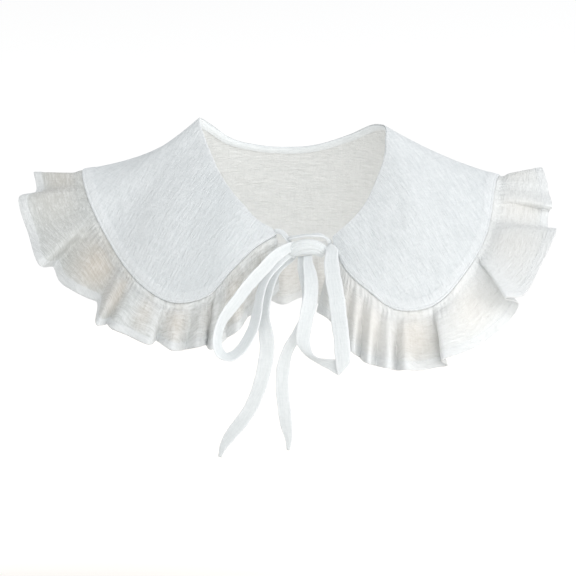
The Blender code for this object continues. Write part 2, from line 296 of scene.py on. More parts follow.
def crinkle_relief():
    """Moves a sheet along its normals: soft crinkles along the cloth's length, and gathers beside a seam."""
    tree, nodes, size = new_rule("Cloth relief", (
        "Crinkle Height", "Crinkle Length", "Crinkle Width", "Gather Height", "Gather Pitch", "Gather Reach",
        "Seed"), "Cloth")

    def carried(key, kind):
        return nodes.add("GeometryNodeInputNamedAttribute", {"data_type": kind}, {"Name": key})

    cut, along, away = carried("cut", "FLOAT_VECTOR"), carried("along_seam", "FLOAT"), carried("from_seam", "FLOAT")

    def wander(place, offset):
        spot = nodes.add("ShaderNodeCombineXYZ", None, {0: place, 1: size["Seed"] + offset})
        return nodes.noise(spot, 1.0)

    each = nodes.add("ShaderNodeCombineXYZ", None, {
        0: size["Crinkle Length"].maths("DIVIDE", 1.0, size["Crinkle Length"]),
        1: size["Crinkle Width"].maths("DIVIDE", 1.0, size["Crinkle Width"])})
    shift = nodes.add("ShaderNodeCombineXYZ", None, {2: size["Seed"]})
    lumps = nodes.noise(nodes.stretched(cut, each, shift), 2.0, 0.6, 0.4)
    crinkle = (lumps - 0.5) * 2.0 * size["Crinkle Height"]
    # The gathers wander from their pitch, die away unevenly down the cloth and are lower right at the seam
    phase = along / size["Gather Pitch"] + wander(along * 0.06, 0.0) * 2.4
    ridge = nodes.wave(phase * (2 * math.pi))
    reach = size["Gather Reach"] * (0.25 + wander(along * 0.21, 7.0) * 1.5)
    faded = away / reach
    fade = (faded * faded * -1.0).maths("EXPONENT", faded * faded * -1.0)
    rise = 1.0 - 0.7 * nodes.step(2.4, 0.0, away)
    gather = ridge * fade * rise * size["Gather Height"] * (0.45 + wander(along * 0.16, 19.0) * 1.1)
    push = nodes.add("ShaderNodeVectorMath", {"operation": "SCALE"}, {
        0: nodes.add("GeometryNodeInputNormal"), "Scale": (crinkle + gather) * 0.001})
    moved = nodes.add("GeometryNodeSetPosition", None, {"Geometry": size["Geometry"], "Offset": push})
    plain = nodes.add("GeometryNodeRealizeInstances", None, {"Geometry": moved})
    dressed = nodes.add("GeometryNodeSetMaterial", None, {"Geometry": plain, "Material": size["Cloth"]})
    nodes.add("NodeGroupOutput", None, {0: dressed})
    return tree


def set_inputs(modifier, **values):
    """Sets a modifier's inputs by their labels, through the sockets' identifiers."""
    for item in modifier.node_group.interface.items_tree:
        if item.in_out == "INPUT" and item.name.replace(" ", "_").lower() in values:
            modifier[item.identifier] = values[item.name.replace(" ", "_").lower()]


def relieved(thing, shape, cloth, seed, height, length, width, gather=0.0, pitch=4.0, reach=12.0):
    """Adds the relief, and gives the places and normals of the vertices in metres as they then are."""
    modifier = thing.modifiers.new("Relief", "NODES")
    modifier.node_group = bpy.data.node_groups.get("Cloth relief") or crinkle_relief()
    set_inputs(modifier, crinkle_height=height, crinkle_length=length, crinkle_width=width,
               gather_height=gather, gather_pitch=pitch, gather_reach=reach, seed=seed, cloth=cloth)
    now = thing.evaluated_get(bpy.context.evaluated_depsgraph_get()).data
    places, normals = np.empty(shape), np.empty(shape)
    now.vertices.foreach_get("co", places.ravel())
    now.vertex_normals.foreach_get("vector", normals.ravel())
    return places, normals


def walled(thing, wall, group=None, bevel=0.0, inside_warm=None):
    """Gives a sheet its thickness behind its face, and softens its rim."""
    shell = thing.modifiers.new("Wall", "SOLIDIFY")
    shell.thickness, shell.offset = wall * 0.001, -1
    if group is not None:
        layers = thing.vertex_groups.new(name="layers")
        for k, weight in enumerate(np.ravel(group)):
            layers.add([k], float(weight), "REPLACE")
        shell.vertex_group = "layers"
    settle(thing)
    # The inner layer lies a wall further on in the cut, so that the pattern isn't drawn out over the rim
    half = len(thing.data.vertices) // 2
    cut = np.empty((2 * half, 3), np.float32)
    thing.data.attributes["cut"].data.foreach_get("vector", cut.ravel())
    cut[half:, :2] += wall
    thing.data.attributes["cut"].data.foreach_set("vector", cut.ravel())
    # The inner layer can be painted lighter and warmer: painted light on the inside
    if inside_warm is not None:
        sides = np.repeat((0.0, inside_warm), half).astype(np.float32)
        thing.data.attributes.new("warm", "FLOAT", "POINT").data.foreach_set("value", sides)
    if bevel:
        rim = thing.modifiers.new("Rim", "BEVEL")
        rim.width, rim.segments, rim.limit_method, rim.angle_limit = bevel * 0.001, 2, "ANGLE", math.radians(50)
    return settle(thing)


def blank_material(name):
    material = bpy.data.materials.new(name)
    material.use_nodes = True
    material.node_tree.nodes.clear()
    return material, Nodes(material.node_tree)


def crinkle_cotton(name, pale, deep, edge=None, warm_light_and_shade_tones=None, glow=0.0, strength=1.0, gathers=0.0, sheer=0.0,
                   seed=0.0):
    """Crinkled plain-weave cotton: fine streaks along the cloth, finer ones between, slubs and the weave. Its
    colour is painted darker in the valleys of the streaks, as painted shade of the crinkles. pale and deep are its
    tones, edge the pair where it is turned in, and the warm pair the tones of its painted warm shade and light."""
    material, nodes = blank_material(name)
    cut = nodes.painted("cut", "Vector")
    along, across = (nodes.add("ShaderNodeSeparateXYZ", None, {0: cut}, axis) for axis in "XY")
    # Each noise has a scale of its own along and across the cloth, in turns a millimetre
    streak = nodes.noise(nodes.stretched(cut, (0.085, 0.52, 0.0), (seed, 3.1, 0.0)), 3.0, 0.7, 0.35) - 0.5
    fine = nodes.noise(nodes.stretched(cut, (0.24, 1.5, 0.0), (7.3, seed, 0.0)), 2.0, 0.6, 0.35) - 0.5
    cross = nodes.noise(nodes.stretched(cut, (0.75, 0.10, 0.0), (2.9, seed, 0.0)), 2.0, 0.6, 0.25) - 0.5
    broad = nodes.noise(nodes.stretched(cut, (0.03, 0.05, 0.0), (seed, 11.0, 0.0)), 1.0) - 0.5
    slub = nodes.step(0.60, 0.72, nodes.noise(nodes.stretched(cut, (0.06, 2.1, 0.0), (1.7, seed, 0.0)), 0.0))
    threads = nodes.wave(along * THREADS) + nodes.wave(across * THREADS)
    # The cloth is painted darker in the valleys of its streaks, where they stand lowest, as painted shade of the
    # crinkles; the broad noise changes its tone at random
    shade = 0.45 - streak * 2.3 - fine * 1.4 - cross * 1.0 + broad * 0.5
    height = streak * 1.1 + fine * 0.35 + cross * 0.35 + slub * 0.06 + threads * 0.015
    # Shade and light painted by place: where this number is above nought the cloth is painted darker, below it
    # paler
    if sheer:
        shade = shade + nodes.painted("sheer") * sheer
    if gathers:
        down, side = nodes.painted("from_seam"), nodes.painted("along_seam")
        spot = nodes.add("ShaderNodeCombineXYZ", None, {0: side * 0.95, 1: down * 0.035, 2: seed})
        ray = nodes.noise(spot, 3.0, 0.65, 0.1) - 0.5
        fade = 1.0 - nodes.step(2.0, 42.0, down) * 0.72
        height = height + ray * fade * (0.45 * gathers)
        # The gather rays are also painted darker, as painted shade of their folds, and more so where the cloth is
        # painted warm
        shade = shade - ray * fade * (0.7 + nodes.painted("warm") * 3.6) * gathers
        # Where painted light is laid on, the painted shade fades and the cloth is painted paler: painted light
        shade = shade * (1.0 - nodes.painted("bright"))
    colour = nodes.mixed(shade, pale, deep)
    # Where painted warm the colour goes over to the warm pair: painted warm shade in the ruffle's troughs and
    # painted light on the collar's inner layer. Where the cloth is turned in it goes over to the edge pair.
    for key, tones, most in (("warm", warm_light_and_shade_tones, 1.0), ("band", edge, 0.7)):
        if tones:
            colour = nodes.mixed(nodes.painted(key) * most, colour, nodes.mixed(shade, *tones))
    bump = nodes.add("ShaderNodeBump", None, {"Strength": strength, "Distance": 1.0, "Height": height * 0.001})
    shader = nodes.add("ShaderNodeBsdfPrincipled", None, {
        "Base Color": colour, "Roughness": 0.92, "Specular IOR Level": 0.25, "Sheen Weight": 0.18,
        "Sheen Roughness": 0.5, "Normal": bump})
    if glow:
        through = nodes.add("ShaderNodeBsdfTranslucent", None, {
            "Color": (*(0.6 * a + 0.4 * b for a, b in zip(pale, deep)), 1.0)})
        shader = nodes.add("ShaderNodeMixShader", None, {0: glow, 1: shader, 2: through})
    nodes.add("ShaderNodeOutputMaterial", None, {"Surface": shader})
    return material


u = np.linspace(0, ALONG[-1], COLLAR_COLUMNS)
depth = np.linalg.norm(collar_frame(u)[1] - collar_frame(u)[0], axis=1)[:, None]
scale = np.minimum(1, depth / FULL_DEPTH)
# Rows of the grid, in millimetres from the seam and from the neckline, close together at the stitched edges
seam_rows = np.array((11.0, 9.4, 8.6, 7.9, 7.0, 5.6, 4.2, 3.0, 2.4, 2.0, 1.6, 1.1, 0.6, 0.25, 0.0))
neck_rows = np.array((0.0, 0.5, 1.1, 2.0, 3.2, 5.0))
share = np.linspace(0, 1, 27)[1:-1]
away = np.concatenate([
    depth - neck_rows * scale,
    (depth - neck_rows[-1] * scale) * (1 - share) + seam_rows[0] * scale * share,
    seam_rows * scale], 1)
from_seam, from_neck = away / scale, (depth - away) / scale
points = collar_grid(u, away)
face = collar_frame(u)[3][:, None]
spoke = np.interp(u, ALONG, np.arange(len(ALONG)))[:, None]
# The turned edge stands up a little, the stitching sinks in, and both rims are rounded off
relief = 0.35 * (1 - soft_step((from_seam - SEAM_BAND + 0.6) / 1.2))
relief -= (0.40 * np.exp(-(((from_seam - TOPSTITCH) / 0.45) ** 2))
           + 0.2 * np.exp(-(((from_neck - 2.2) / 0.5) ** 2)))
relief -= 0.5 * np.clip(1 - from_seam / 1.1, 0, 1) ** 2 + 0.4 * np.clip(1 - from_neck / 1.1, 0, 1) ** 2
v = 1 - away / depth
# The collar laid out in millimetres for its creases: the width of a spoke and the usual depth
crease_scale = np.array((42.0, 100.0))
here = np.stack(np.broadcast_arrays(spoke, v), -1) * crease_scale
for s0, v0, s1, v1, half_width, height in COLLAR_CREASES:
    a, b = np.array((s0, v0)) * crease_scale, np.array((s1, v1)) * crease_scale
    t = np.clip(((here - a) @ (b - a)) / ((b - a) @ (b - a)), 0, 1)
    off = np.linalg.norm(here - (a + t[..., None] * (b - a)), axis=-1)
    relief += height * np.exp(-((off / half_width) ** 2)) * np.sin(np.pi * np.clip(0.12 + 0.76 * t, 0, 1))
flat_cut = unrolled(*collar_frame(u)[:2])[:, None]
cut = flat_cut[:, :, 0] * (1 - v[..., None]) + flat_cut[:, :, 1] * v[..., None]
# The front lobes are cut further off the grain than the back: the spoke where the turn begins, the spoke
# where it is complete, degrees
for begin, full, degrees in ((8.6, 5.6, 25.0), (13.4, 16.4, -29.0)):
    pivot = flat_cut[np.argmin(np.abs(spoke - (begin * 0.55 + full * 0.45))), 0, 0]
    turn = math.radians(degrees) * soft_step((spoke - begin) / (full - begin))[..., None]
    off = cut - pivot
    cut = pivot + np.cos(turn) * off + np.sin(turn) * np.stack([-off[..., 1], off[..., 0]], -1)
band = np.maximum(1 - soft_step((from_seam - SEAM_BAND + 0.4) / 0.9), 1 - soft_step((from_neck - 1.7) / 0.6))

collar_cloth = crinkle_cotton("crinkle cotton, two layers", (0.825, 0.855, 0.87), (0.70, 0.735, 0.75),
                              edge=((0.865, 0.89, 0.905), (0.77, 0.80, 0.815)),
                              warm_light_and_shade_tones=((0.95, 0.965, 0.955), (0.83, 0.85, 0.84)), glow=0.1, sheer=0.8, seed=2.0)
# The lower part of the left front lobe, about spoke 3.2, is painted darker: painted shade
collar_piece = grid_mesh("collar", points + face * relief[..., None], cut=laid_flat(cut[..., 0], cut[..., 1]),
                         band=band, from_seam=from_seam, along_seam=u[:, None],
                         sheer=0.9 * np.exp(-(((spoke - 3.2) / 1.2) ** 2)))
collar_places, collar_normals = relieved(collar_piece, points.shape, collar_cloth, seed=4.0, height=0.22,
                                         length=26.0, width=9.0)
# The edges are pressed: the wall thins towards the neckline and a little towards the seam
pressed = 1 - 0.5 * np.exp(-((from_neck / 1.6) ** 2)) - 0.25 * np.exp(-((from_seam / 1.2) ** 2))
# Its inner layer is painted lighter and warmer: painted light inside the collar
walled(collar_piece, COLLAR_WALL, group=pressed, bevel=0.25, inside_warm=0.9)
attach(collar_piece, "root")
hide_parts("collar_body")

# Neck tape
# A narrow strip of the same cotton that covers the raw neck edge on the inside. Both its long edges are
# turned under, and it is stitched down along the lower one.
# In millimetres, and the share of the width at which its stitches run
TAPE_WIDTH, TAPE_WALL, TAPE_GAP, TAPE_STITCH = 5.5, 0.65, 0.85, 0.8
tape_share = np.array((0.0, 0.06, 0.14, 0.3, 0.5, 0.68, 0.8, 0.88, 0.95, 1.0))
down = 0.05 + np.minimum(TAPE_WIDTH, depth * 0.5) * tape_share
plump = 0.22 * (1 - np.abs(2 * tape_share - 1) ** 4) - 0.16 * np.exp(-(((tape_share - 0.82) / 0.06) ** 2))
# It lies on the inner layer of the collar as made
on_collar = collar_places * 1000
below_neck = depth - away
tape_points = np.empty((len(u), len(tape_share), 3))
for k in range(len(u)):
    sunk = COLLAR_WALL * np.interp(down[k], below_neck[k], pressed[k]) + TAPE_GAP + plump
    for axis in range(3):
        surface = np.interp(down[k], below_neck[k], on_collar[k, :, axis])
        tape_points[k, :, axis] = surface - face[k, 0, axis] * sunk
round_neck = (u / ALONG[-1] - 0.5)[:, None] * NECK_LENGTH
tape = grid_mesh("neck_tape", tape_points[:, ::-1], cut=laid_flat(round_neck, down)[:, ::-1])
tape_cloth = crinkle_cotton("crinkle cotton, neck tape", (0.86, 0.895, 0.91), (0.76, 0.80, 0.815),
                            strength=0.4, seed=5.0)
tape_places, tape_normals = relieved(tape, tape_points.shape, tape_cloth, seed=9.0, height=0.07,
                                     length=9.0, width=4.0)
walled(tape, TAPE_WALL, bevel=0.2)
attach(tape, "root")
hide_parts("neck_binding")

# Ruffle
# One long strip of the same cotton in a single layer, about 1.9 times as long as the seam it is gathered
# into, with a narrow double-turned hem. It stands in uneven folds from one front tip round to the other.
# In millimetres: the cloth, how far its edge lies under the collar and how far it rolls out from there, the
# turned hem, where its stitches run, and the fall below which the rows beside the edges close up
RUFFLE_WALL, SEAM_TUCK, SEAM_ROLL, HEM_BAND, HEM_STITCH, FULL_FALL = 1.0, 0.5, 2.6, 6.5, 5.9, 40.0
BACK_WAVES, WAVE_HALF_HEIGHT = 15, 7.5
# Where each fold meets the hem: the spoke it grows from, then hem x, y, z in millimetres
LEFT_FOLDS = (
    (0.00, -8, -74, -104),
    (0.35, -13, -79, -109),
    (0.75, -20, -74, -113),
    (1.10, -22, -85, -119),
    (1.50, -30, -82, -123),
    (1.90, -36, -97, -132),
    (2.25, -44, -91, -137),
    (2.55, -53, -108, -144),
    (2.80, -57, -98, -141),
    (3.10, -62, -118, -142),
    (3.40, -71, -106, -144),
    (3.75, -79, -122, -144),
    (4.05, -91, -104, -138),
    (4.22, -95, -124, -140),
    (4.65, -109, -119, -134),
    (5.00, -119, -118, -130),
    (5.16, -124, -104, -127),
    (5.34, -130, -114, -127),
    (5.50, -133, -80, -113),
    (5.75, -142, -74, -109),
    (6.00, -152, -71, -104),
    (6.22, -162, -60, -98),
    (6.42, -169, -48, -87),
    (6.60, -176, -66, -86),
    (6.85, -187, -42, -65),
    (7.15, -197, -26, -38),
    (7.36, -188, -1, -31),
    (7.62, -192, 12, -16),
)
RIGHT_FOLDS = (
    (14.40, 188, 12, -13),
    (14.85, 190, -4, -24),
    (15.10, 190, -12, -33),
    (15.28, 190, -28, -43),
    (15.44, 189, -18, -46),
    (15.70, 186, -34, -60),
    (15.92, 186, -70, -63),
    (16.15, 174, -80, -86),
    (16.36, 160, -94, -107),
    (16.50, 146, -103, -109),
    (16.64, 158, -84, -113),
    (16.85, 152, -78, -125),
    (17.10, 142, -86, -133),
    (17.40, 130, -92, -141),
    (17.68, 115, -114, -146),
    (17.95, 102, -121, -150),
    (18.10, 107, -101, -155),
    (18.30, 100, -104, -156),
    (18.55, 88, -107, -158),
    (18.80, 77, -121, -157),
    (19.02, 72, -107, -158),
    (19.25, 65, -120, -156),
    (19.50, 58, -105, -155),
    (19.75, 52, -115, -153),
    (20.05, 48, -98, -150),
    (20.32, 42, -106, -146),
    (20.60, 38, -92, -140),
    (20.90, 34, -94, -133),
    (21.25, 30, -82, -128),
    (21.60, 25, -84, -123),
    (22.00, 19, -74, -119),
)
# The smooth line that the back hem waves about: spoke, x, y, z
BACK_HEM = np.array((
    (7.62, -192, 12, -16),
    (8.0, -190, 32, -27),
    (9.0, -159, 88, -62),
    (10.0, -89, 121, -100),
    (11.0, 0, 132, -114),
    (12.0, 89, 121, -100),
    (13.0, 160, 88, -63),
    (14.0, 189, 32, -29),
    (14.40, 188, 12, -13),
), float)
# Uneven waves, used in turn round the back: height share, sideways lean, extra drop
BACK_UNEVENNESS = (
    (1.00, 3.0, 1.0),
    (0.75, -2.0, -1.0),
    (1.15, -4.0, 0.5),
    (0.85, 2.0, 2.0),
    (1.05, 0.0, -1.5),
    (0.70, 4.0, 1.0),
    (1.20, -3.0, 0.0),
)


def spoke_to_mm(spoke):
    return np.interp(spoke, np.arange(len(ALONG)), ALONG)


knots, base = spoke_to_mm(BACK_HEM[:, 0]), BACK_HEM[:, 1:]
folds = [(spoke_to_mm(r[0]), np.array(r[1:], float)) for r in LEFT_FOLDS]
count = 2 * BACK_WAVES
for i in range(1, count):
    wave_share, lean, drop = BACK_UNEVENNESS[i % len(BACK_UNEVENNESS)]
    # The waves are unevenly spaced too
    place = np.array([knots[0] + (knots[-1] - knots[0]) * (i + 0.18 * math.sin(2.1 * i)) / count])
    middle = read_curve(knots, base, place)[0]
    _, seam, _, face, _ = (row[0] for row in collar_frame(place))
    run = unit(read_curve(knots, base, place + 1)[0] - read_curve(knots, base, place - 1)[0])
    fall = unit(middle - seam)
    out = unit(np.cross(run, fall))
    out *= 1 if out @ face >= 0 else -1
    lift = WAVE_HALF_HEIGHT * wave_share * (1 if i % 2 == 0 else -1)
    folds.append((place[0], middle + out * lift + run * lean + fall * drop))
folds += [(spoke_to_mm(r[0]), np.array(r[1:], float)) for r in RIGHT_FOLDS]

fold_u = np.array([f[0] for f in folds])
fold_hem = np.array([f[1] for f in folds])
hem_knots = run_lengths(fold_hem, 0.5)
COLUMNS_A_FOLD = 13
ticks = np.arange((len(folds) - 1) * COLUMNS_A_FOLD + 1) / COLUMNS_A_FOLD
u = np.interp(ticks, np.arange(len(folds)), fold_u)
hem = read_curve(hem_knots, fold_hem, np.interp(ticks, np.arange(len(folds)), hem_knots))
_, seam, outward, face, _ = collar_frame(u)
start = seam - outward * SEAM_TUCK
fall = np.linalg.norm(hem - start, axis=1)[:, None]
# Rows of the grid, in millimetres from the seam and from the hem
out_rows = np.array((0.0, 0.6, 1.3, 2.2, 3.3, 4.6, 6.2, 8.0, 10.0, 12.3, 14.8, 17.4, 20.1, 22.9))
hem_rows = np.array((HEM_BAND + 0.7, HEM_BAND, HEM_STITCH, 4.4, 2.4, 1.7, 1.0, 0.4, 0.0))
middle_share = np.linspace(0, 1, 8)[1:-1]
reach = np.minimum(1, fall / FULL_FALL)
drop = np.concatenate([
    out_rows * reach,
    out_rows[-1] * reach * (1 - middle_share) + (fall - hem_rows[0] * reach) * middle_share,
    fall - hem_rows * reach], 1)
# Each line first rolls outwards from the seam, and then falls to the hem in a slight curve
w = (drop / fall)[..., None]
roll = w / 0.06 * np.exp(1 - w / 0.06)
points = (start[:, None] * (1 - w) + hem[:, None] * w + face[:, None] * 3 * w * (1 - w)
          + outward[:, None] * SEAM_ROLL * roll - face[:, None] * 0.3 * (1 - np.exp(-w / 0.05)))
from_hem = (fall - drop) / reach
folded = 1 - soft_step((from_hem - HEM_BAND + 0.5) / 0.7)
strip = run_lengths(hem)[:, None]
ruffle_cloth = crinkle_cotton("crinkle cotton, one layer", (0.945, 0.965, 0.97), (0.66, 0.685, 0.675),
                              edge=((0.93, 0.945, 0.95), (0.85, 0.87, 0.88)),
                              warm_light_and_shade_tones=((0.94, 0.905, 0.85), (0.66, 0.59, 0.50)), glow=0.2, gathers=0.3, sheer=0.8,
                              seed=8.0)
# Painted warm shade: where the strip is painted creamy and darker, in its shaded troughs: the spoke, half width in
# spokes, strength
PAINTED_WARM_SHADE_PLACES = ((0.8, 0.6, 0.5), (1.9, 0.4, 0.7), (2.9, 0.3, 0.35), (3.75, 0.3, 0.7), (4.5, 0.2, 0.5),
                (5.2, 0.14, 0.6), (5.85, 0.45, 0.8), (7.6, 0.8, 0.4), (9.5, 0.7, 0.5), (11.0, 1.0, 0.4),
                (12.8, 0.8, 0.5), (14.6, 0.4, 0.3), (15.5, 0.3, 0.4), (16.1, 0.25, 0.3), (17.3, 0.5, 0.5),
                (18.6, 0.45, 0.8), (19.7, 0.5, 0.6), (20.6, 0.5, 0.6), (21.5, 0.5, 0.5))
spoke = np.interp(u, ALONG, np.arange(len(ALONG)))[:, None]
warm = sum(k * np.exp(-(((spoke - at) / wide) ** 2)) for at, wide, k in PAINTED_WARM_SHADE_PLACES)
warm = warm * np.sin(np.pi * np.clip(drop / (fall - 4), 0.1, 1)) ** 0.7
# Shade and light painted along the spokes: the strip is painted darker on the left, a little paler round the back
# and paler on the right
sheer = np.interp(spoke, (3.3, 4.2, 4.9, 5.9, 6.8, 7.6, 8.4, 12, 15.2, 16, 17, 18.2, 18.9, 19.3),
                  (0, -0.1, 0.3, 0.35, 0.5, 0.5, -0.1, -0.1, -0.05, -0.2, -0.3, 0, 0, -0.3))
# Painted light: how far the painted shade of its streaks fades, leaving it painted paler, on the right and round
# the back
bright = np.interp(spoke, (7.6, 8.6, 12, 15.2, 16, 17, 18.2, 18.9, 19.3, 21, 24),
                   (0, 0.3, 0.4, 0.5, 0.66, 0.75, 0.5, 0.5, 0.75, 0.8, 0.7))
ruffle = grid_mesh("ruffle_strip", points, cut=laid_flat(strip, drop), band=folded, warm=warm, sheer=sheer,
                   bright=bright, from_seam=drop, along_seam=u[:, None])
# Its face stands off by half the wall and a little more, most of all on the doubled hem
around = unit(np.cross(np.gradient(points, axis=0), np.gradient(points, axis=1)))
points = points + around * (0.5 * RUFFLE_WALL + 0.3 + 0.2 * folded)[..., None]
ruffle.data.vertices.foreach_set("co", np.ravel(points * 0.001).astype(np.float32))
ruffle_places, ruffle_normals = relieved(ruffle, points.shape, ruffle_cloth, seed=3.0, height=0.26,
                                         length=16.0, width=7.0, gather=0.3, pitch=3.9, reach=15.0)
walled(ruffle, RUFFLE_WALL, group=0.6 + 0.4 * folded)
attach(ruffle, "root")
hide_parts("ruffle")

# Ties and bow
# Each tie is a strip of the same cotton folded lengthwise to about 10 mm, its edges turned in and stitched,
# sewn into a front tip of the neckline. The two are tied in a bow; their ends are cut on the slant.
RIBBON_WALL, RIBBON_STEP = 1.3, 1.5
# Along the middle: x, y, z in millimetres, then either the tilt of the width out of the front view in degrees
# and the width, or the width as a vector. The right loop is folded over at its lower corner, and what comes
# after the fold is a course of its own.
RIBBONS = {
    "tie_left": ((
        (-11.3, -62.6, -63.6, -29, 4.0),
        (-9.4, -62.2, -63.0, -32, 4.5),
        (-7.0, -63.4, -63.6, -45, 5.5),
        (-4.4, -66.6, -65.8, -62, 7.0),
        (-2.4, -70.2, -69.0, -70, 7.5),
        (0.4, -73.6, -72.4, -68, 6.5),
    ),),
    "tie_right": ((
        (29.3, -63.0, -70.4, 34, 4.0),
        (28.0, -62.8, -70.7, 36, 4.5),
        (26.2, -64.8, -69.5, 52, 5.5),
        (21.6, -69.8, -66.3, 76, 8.0),
        (15.4, -72.2, -66.3, 80, 9.0),
        (9.0, -73.0, -66.6, 80, 9.0),
        (3.4, -72.8, -67.6, 78, 8.5),
        (-0.6, -71.8, -68.2, 70, 7.0),
    ),),
    "bow_loop_left": ((
        (5.0, -79.4, -73.3, 0, 6.0),
        (-0.2, -81.0, -74.3, -5, 7.0),
        (-4.6, -85.0, -76.6, -15, 7.5),
        (-10.6, -91.0, -80.8, -25, 9.0),
        (-18.0, -97.5, -88.8, -35, 10.0),
        (-28.5, -106.0, -100.4, -40, 10.5),
        (-37.0, -114.0, -111.8, -43, 10.5),
        (-44.9, -119.5, -122.4, -52, 10.5),
        (-48.4, -122.5, -131.7, -58, 10.5),
        (-49.0, -124.0, -140.3, -58, 10.5),
        (-46.3, -124.5, -146.6, -56, 10.5),
        (-40.7, -124.0, -148.9, -55, 10.5),
        (-34.1, -122.0, -145.3, -52, 10.5),
        (-28.9, -119.0, -138.4, -48, 10.5),
        (-24.9, -115.0, -130.5, -48, 10.5),
        (-22.4, -110.0, -121.2, -52, 10.5),
        (-20.8, -104.0, -111.9, -55, 10.0),
        (-19.2, -98.0, -103.8, -50, 9.0),
        (-16.2, -91.5, -95.5, -40, 8.0),
        (-11.1, -86.0, -88.3, -25, 7.5),
        (-5.2, -81.2, -82.0, -10, 7.0),
        (-0.6, -78.6, -78.6, 0, 6.0),
    ),),
    "bow_loop_right": ((
        (12.4, -80.2, -80.65, 5, 6.0),
        (12.3, -86.0, -85.6, 0, 7.0),
        (13.9, -94.0, -94.9, -5, 9.5),
        (13.8, -101.0, -107.8, -10, 10.2),
        (10.7, -106.0, -122.7, -12, 10.2),
        (8.6, -108.5, -135.1, 9.9, 1.2, -0.8),
        (9.7, -110.2, -143.0, 9.4, -1.5, -3.0),
        (14.5, -112.5, -147.9, 8.2, -5.8, -1.4),
        (22.6, -115.5, -151.2, 8.2, -5.4, 3.2),
        (35.6, -118.6, -155.7, 8.3, 0.0, 9.4),
    ), (
        (35.6, -121.4, -155.7, 8.3, 0.0, 9.4),
        (34.9, -121.9, -149.2, 10.6, 0.0, -0.8),
        (34.4, -119.3, -138.5, 178, 10.6),
        (32.8, -113.8, -123.9, 178, 11.0),
        (31.3, -107.3, -109.2, 180, 11.0),
        (29.1, -99.3, -94.9, 180, 11.0),
        (28.2, -90.3, -83.4, 180, 10.0),
        (28.3, -83.7, -75.6, 180, 8.0),
        (25.6, -79.9, -72.8, 180, 6.0),
    )),
    "bow_tail_left": ((
        (3.0, -74.3, -79.2, 0, 5.0),
        (-0.6, -74.4, -82.4, 0, 6.0),
        (-4.6, -76.2, -84.9, 10, 7.0),
        (-9.8, -80.0, -90.4, 20, 8.0),
        (-13.2, -84.6, -98.3, 35, 9.0),
        (-15.6, -89.4, -107.2, 40, 9.5),
        (-17.3, -93.6, -116.7, 42, 10.0),
        (-17.6, -97.0, -124.2, 35, 10.5),
        (-16.4, -99.0, -132.3, 15, 10.5),
        (-15.6, -100.0, -143.2, 0, 10.4),
        (-17.8, -100.5, -158.1, 0, 10.2),
        (-21.1, -100.5, -170.3, 5, 9.8),
        (-26.4, -100.0, -183.3, 10, 9.4),
        (-32.1, -99.5, -192.1, 15, 9.5),
        (-39.6, -99.0, -201.7, 20, 9.0),
        (-45.0, -98.5, -209.9, 25, 6.0),
        (-47.6, -98.0, -217.4, 25, 2.5),
    ),),
    "bow_tail_right": ((
        (8.2, -76.0, -80.75, 0, 6.0),
        (9.2, -79.5, -89.9, 0, 8.0),
        (12.4, -87.5, -107.2, 0, 8.5),
        (10.0, -94.0, -124.0, -10, 8.5),
        (4.0, -97.0, -134.6, -30, 8.5),
        (-1.4, -97.6, -143.5, -35, 9.0),
        (-4.4, -98.2, -153.5, -20, 9.4),
        (-5.4, -98.5, -163.6, -8, 9.2),
        (-5.2, -98.5, -174.0, 0, 9.0),
        (-3.9, -98.5, -184.7, 5, 9.0),
        (-2.5, -98.0, -195.7, 10, 8.5),
        (-0.9, -97.5, -204.6, 15, 5.5),
        (-1.1, -97.0, -212.8, 20, 2.2),
    ),),
}
tie_cloth = crinkle_cotton("crinkle cotton, ties", (0.83, 0.86, 0.87), (0.74, 0.775, 0.785),
                           edge=((0.90, 0.92, 0.935), (0.85, 0.875, 0.89)), glow=0.15, strength=0.3, seed=14.0)
# Across the ribbon: half widths and half thicknesses, with a stitched dent inside each edge, and the points
# that lie in the dents
top = np.array([(-0.97, 0.62), (-0.88, 0.96), (-0.74, 0.82), (-0.55, 0.95), (-0.28, 1.0), (0, 1.0), (0.28, 1.0),
                (0.55, 0.95), (0.74, 0.82), (0.88, 0.96), (0.97, 0.62)])
profile = np.concatenate([[(-1, 0)], top, [(1, 0)], top[::-1] * (1, -1)])
in_dent = (3, 9, 15, 21)
ribbon_pieces = []


def with_sides(course):
    """Each row with its width as a vector."""
    places = np.array([row[:3] for row in course], float)
    run = unit(np.gradient(places, axis=0))
    flat = unit(np.cross(run, (0.0, 1.0, 0.0)))
    deep = np.cross(run, flat)
    sides = [row[3:] if len(row) == 6 else
             row[4] * (math.cos(math.radians(row[3])) * flat[k] + math.sin(math.radians(row[3])) * deep[k])
             for k, row in enumerate(course)]
    return np.concatenate([places, np.array(sides, float)], 1)


